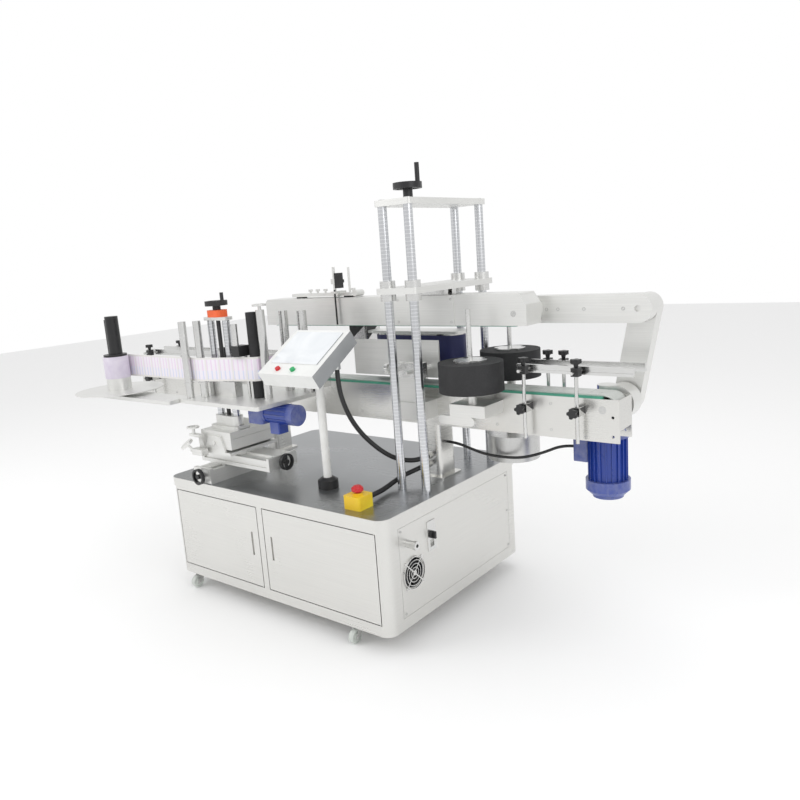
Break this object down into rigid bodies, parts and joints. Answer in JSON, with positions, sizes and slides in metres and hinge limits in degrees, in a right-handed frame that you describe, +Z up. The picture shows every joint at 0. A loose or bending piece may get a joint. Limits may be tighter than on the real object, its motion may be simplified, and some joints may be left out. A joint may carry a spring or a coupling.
{
  "type": "bottle labelling machine",
  "caption": "slat-chain conveyor labelling machine on a wheeled cabinet, with an adjustable label head, a pressing belt beam on four columns and a wrap station",
  "frame": {"origin": "on the floor, under the middle of the machine box", "axes": "+Z up, +X along the conveyor towards the drive motor, +Y away from the operator"},
  "size_m": [2.554, 1, 1.5583],
  "materials": {
    "stainless": "brushed",
    "stainless_dark": "brushed, darker top",
    "aluminium": "satin anodised",
    "machined_steel": "machined",
    "chrome_rod": "polished",
    "black_plastic": "satin",
    "chain_plastic": "matte",
    "rail_plastic": "matte",
    "belt_green": "matte belt",
    "belt_blue": "matte belt",
    "foam": "foam",
    "motor_blue": "gloss enamel",
    "console_white": "satin enamel",
    "yellow_plastic": "satin",
    "red_plastic": "gloss",
    "green_plastic": "gloss",
    "wheel_grey": "matte tread",
    "black_hose": "matte",
    "label_paper": "gloss label strip"
  },
  "bodies": {
    "machine_base": {"cabinet_shell": "stainless", "table_top": "stainless_dark", "panel_fittings": "stainless", "caster_mounts": "machined_steel", "conveyor_frame": "stainless", "conveyor_chain": "chain_plastic", "drive_motor": "motor_blue", "rail_clamps": "black_plastic", "column_frame": "chrome_rod", "separator_stands": "aluminium", "wrap_station": "aluminium", "wrap_belt": "belt_blue", "console_box": "console_white", "console_post": "machined_steel", "stop_box": "yellow_plastic", "slide_base": "machined_steel", "motor_lead": "black_hose", "console_conduit": "black_hose", "stop_conduit": "black_hose"},
    "door_left": {"door_left": "stainless"},
    "door_right": {"door_right": "stainless"},
    "fan_rotor": {"fan_rotor": "black_plastic"},
    "power_switch": {"power_switch": "black_plastic"},
    "caster_fork_left": {"caster_fork_left": "machined_steel"},
    "caster_fork_right": {"caster_fork_right": "machined_steel"},
    "caster_wheel_front_left": {"caster_wheel_front_left": "wheel_grey"},
    "caster_wheel_front_right": {"caster_wheel_front_right": "wheel_grey"},
    "caster_wheel_rear_left": {"caster_wheel_rear_left": "wheel_grey"},
    "caster_wheel_rear_right": {"caster_wheel_rear_right": "wheel_grey"},
    "sprocket_drive": {"sprocket_drive": "machined_steel"},
    "sprocket_tail": {"sprocket_tail": "machined_steel"},
    "guide_rail_near": {"guide_rail_near": "rail_plastic"},
    "guide_rail_far": {"guide_rail_far": "rail_plastic"},
    "lift_handwheel": {"lift_handwheel": "black_plastic"},
    "press_unit": {"carriage_plate": "aluminium", "press_beam": "aluminium", "press_belt": "belt_green", "sensor_bracket": "aluminium"},
    "press_pulley": {"press_pulley": "aluminium"},
    "upper_arm": {"upper_arm": "aluminium"},
    "lower_arm": {"lower_arm": "aluminium"},
    "separator_wheel_near": {"separator_wheel_near": "foam"},
    "separator_wheel_far": {"separator_wheel_far": "foam"},
    "press_plate": {"press_plate": "aluminium"},
    "start_button": {"start_button": "green_plastic"},
    "stop_button": {"stop_button": "red_plastic"},
    "stop_mushroom": {"stop_mushroom": "red_plastic"},
    "cross_slide": {"cross_slide": "machined_steel"},
    "slide_wheel_x": {"slide_wheel_x": "black_plastic"},
    "slide_wheel_y": {"slide_wheel_y": "black_plastic"},
    "x_carriage": {"x_carriage": "machined_steel"},
    "head_mast": {"head_mast": "aluminium"},
    "height_wheel": {"height_wheel": "black_plastic"},
    "head_plate": {"head_plate": "aluminium", "label_motor": "motor_blue", "label_web": "label_paper"},
    "guide_roller_front": {"guide_roller_front": "black_plastic"},
    "guide_roller_rear": {"guide_roller_rear": "black_plastic"},
    "traction_roller": {"traction_roller": "black_plastic"},
    "label_reel": {"label_reel": "black_plastic"}
  },
  "joints": [
    {"name": "door_left_hinge", "type": "hinge", "parent": "machine_base", "child": "door_left", "pos_m": [-0.419, -0.33, 0.26], "axis": [0, 0, 1], "range_deg": [-105, 0]},
    {"name": "door_right_hinge", "type": "hinge", "parent": "machine_base", "child": "door_right", "pos_m": [0.599, -0.33, 0.26], "axis": [0, 0, 1], "range_deg": [0, 105]},
    {"name": "fan_spin", "type": "hinge", "parent": "machine_base", "child": "fan_rotor", "pos_m": [0.628, -0.195, 0.242], "axis": [1, 0, 0], "continuous": true},
    {"name": "power_switch_turn", "type": "hinge", "parent": "machine_base", "child": "power_switch", "pos_m": [0.645, -0.088, 0.338], "axis": [1, 0, 0], "range_deg": [0, 90]},
    {"name": "caster_swivel_left", "type": "hinge", "parent": "machine_base", "child": "caster_fork_left", "pos_m": [-0.39, -0.3, 0.06], "axis": [0, 0, 1], "continuous": true},
    {"name": "caster_roll_front_left", "type": "hinge", "parent": "caster_fork_left", "child": "caster_wheel_front_left", "pos_m": [-0.39, -0.322, 0.025], "axis": [1, 0, 0], "continuous": true},
    {"name": "caster_roll_rear_left", "type": "hinge", "parent": "machine_base", "child": "caster_wheel_rear_left", "pos_m": [-0.39, 0.438, 0.025], "axis": [1, 0, 0], "continuous": true},
    {"name": "caster_swivel_right", "type": "hinge", "parent": "machine_base", "child": "caster_fork_right", "pos_m": [0.47, -0.3, 0.06], "axis": [0, 0, 1], "continuous": true},
    {"name": "caster_roll_front_right", "type": "hinge", "parent": "caster_fork_right", "child": "caster_wheel_front_right", "pos_m": [0.47, -0.322, 0.025], "axis": [1, 0, 0], "continuous": true},
    {"name": "caster_roll_rear_right", "type": "hinge", "parent": "machine_base", "child": "caster_wheel_rear_right", "pos_m": [0.47, 0.438, 0.025], "axis": [1, 0, 0], "continuous": true},
    {"name": "conveyor_drive", "type": "hinge", "parent": "machine_base", "child": "sprocket_drive", "pos_m": [1.172, 0.16, 0.766], "axis": [0, 1, 0], "continuous": true},
    {"name": "conveyor_tail", "type": "hinge", "parent": "machine_base", "child": "sprocket_tail", "pos_m": [-1.224, 0.16, 0.766], "axis": [0, 1, 0], "continuous": true},
    {"name": "guide_rail_near_slide", "type": "slide", "parent": "machine_base", "child": "guide_rail_near", "axis": [0, 1, 0], "range_m": [-0.01, 0.018]},
    {"name": "guide_rail_far_slide", "type": "slide", "parent": "machine_base", "child": "guide_rail_far", "axis": [0, 1, 0], "range_m": [-0.018, 0.01]},
    {"name": "press_lift", "type": "slide", "parent": "machine_base", "child": "press_unit", "axis": [0, 0, 1], "range_m": [-0.015, 0.09]},
    {"name": "lift_handwheel_turn", "type": "hinge", "parent": "machine_base", "child": "lift_handwheel", "pos_m": [0.5525, 0.025, 1.45], "axis": [0, 0, 1], "continuous": true},
    {"name": "press_pulley_spin", "type": "hinge", "parent": "press_unit", "child": "press_pulley", "pos_m": [0.878, 0.16, 1.06], "axis": [0, 1, 0], "continuous": true},
    {"name": "upper_arm_pivot", "type": "hinge", "parent": "press_unit", "child": "upper_arm", "pos_m": [0.878, 0.27, 1.06], "axis": [0, 1, 0], "range_deg": [-4, 16]},
    {"name": "lower_arm_pivot", "type": "hinge", "parent": "machine_base", "child": "lower_arm", "pos_m": [1.172, 0.325, 0.766], "axis": [0, 1, 0], "range_deg": [-3, 1]},
    {"name": "separator_spin_near", "type": "hinge", "parent": "machine_base", "child": "separator_wheel_near", "pos_m": [0.758, 0.03, 0.866], "axis": [0, 0, 1], "continuous": true},
    {"name": "separator_spin_far", "type": "hinge", "parent": "machine_base", "child": "separator_wheel_far", "pos_m": [0.745, 0.31, 0.866], "axis": [0, 0, 1], "continuous": true},
    {"name": "press_plate_slide", "type": "slide", "parent": "machine_base", "child": "press_plate", "axis": [0, 1, 0], "range_m": [-0.03, 0.04]},
    {"name": "start_button_press", "type": "slide", "parent": "machine_base", "child": "start_button", "axis": [0, 0.5281, -0.8492], "range_m": [0, 0.003], "stiffness_N_per_m": 400},
    {"name": "stop_button_press", "type": "slide", "parent": "machine_base", "child": "stop_button", "axis": [0, 0.5281, -0.8492], "range_m": [0, 0.003], "stiffness_N_per_m": 400},
    {"name": "stop_mushroom_press", "type": "slide", "parent": "machine_base", "child": "stop_mushroom", "axis": [0, 0, -1], "range_m": [0, 0.004], "stiffness_N_per_m": 800},
    {"name": "head_slide_y", "type": "slide", "parent": "machine_base", "child": "cross_slide", "axis": [0, 1, 0], "range_m": [-0.03, 0.02]},
    {"name": "head_slide_x", "type": "slide", "parent": "cross_slide", "child": "x_carriage", "axis": [1, 0, 0], "range_m": [-0.03, 0.03]},
    {"name": "slide_wheel_y_turn", "type": "hinge", "parent": "machine_base", "child": "slide_wheel_y", "pos_m": [-0.25, -0.34, 0.495], "axis": [0, -1, 0], "continuous": true},
    {"name": "slide_wheel_x_turn", "type": "hinge", "parent": "cross_slide", "child": "slide_wheel_x", "pos_m": [0.051, -0.188, 0.55], "axis": [1, 0, 0], "continuous": true},
    {"name": "head_tilt", "type": "hinge", "parent": "x_carriage", "child": "head_mast", "pos_m": [-0.205, -0.178, 0.62], "axis": [0, 1, 0], "range_deg": [-3, 3]},
    {"name": "head_lift", "type": "slide", "parent": "head_mast", "child": "head_plate", "axis": [0, 0, 1], "range_m": [-0.03, 0.03]},
    {"name": "height_wheel_turn", "type": "hinge", "parent": "head_mast", "child": "height_wheel", "pos_m": [-0.205, -0.21, 1.13], "axis": [0, 0, 1], "continuous": true},
    {"name": "reel_spin", "type": "hinge", "parent": "head_plate", "child": "label_reel", "pos_m": [-0.757, -0.325, 0.8], "axis": [0, 0, 1], "continuous": true},
    {"name": "traction_spin", "type": "hinge", "parent": "head_plate", "child": "traction_roller", "pos_m": [-0.036, -0.19, 0.9], "axis": [0, 0, 1], "continuous": true},
    {"name": "guide_roller_front_spin", "type": "hinge", "parent": "head_plate", "child": "guide_roller_front", "pos_m": [-0.322, -0.29, 0.9], "axis": [0, 0, 1], "continuous": true},
    {"name": "guide_roller_rear_spin", "type": "hinge", "parent": "head_plate", "child": "guide_roller_rear", "pos_m": [-0.268, -0.263, 0.9], "axis": [0, 0, 1], "continuous": true}
  ],
  "couplings": [
    {"joint": "conveyor_tail", "follows": "conveyor_drive", "ratio": 1},
    {"joint": "press_pulley_spin", "follows": "conveyor_drive", "ratio": -1.0952},
    {"joint": "lift_handwheel_turn", "follows": "press_lift", "rad_per_m": 1256.6},
    {"joint": "upper_arm_pivot", "follows": "press_lift", "rad_per_m": 2.79},
    {"joint": "lower_arm_pivot", "follows": "press_lift", "rad_per_m": -0.35},
    {"joint": "slide_wheel_y_turn", "follows": "head_slide_y", "rad_per_m": 1256.6},
    {"joint": "slide_wheel_x_turn", "follows": "head_slide_x", "rad_per_m": 1256.6},
    {"joint": "height_wheel_turn", "follows": "head_lift", "rad_per_m": 1256.6},
    {"joint": "traction_spin", "follows": "reel_spin", "ratio": -2.2727},
    {"joint": "guide_roller_front_spin", "follows": "reel_spin", "ratio": 3.3333},
    {"joint": "guide_roller_rear_spin", "follows": "reel_spin", "ratio": -3.3333}
  ]
}
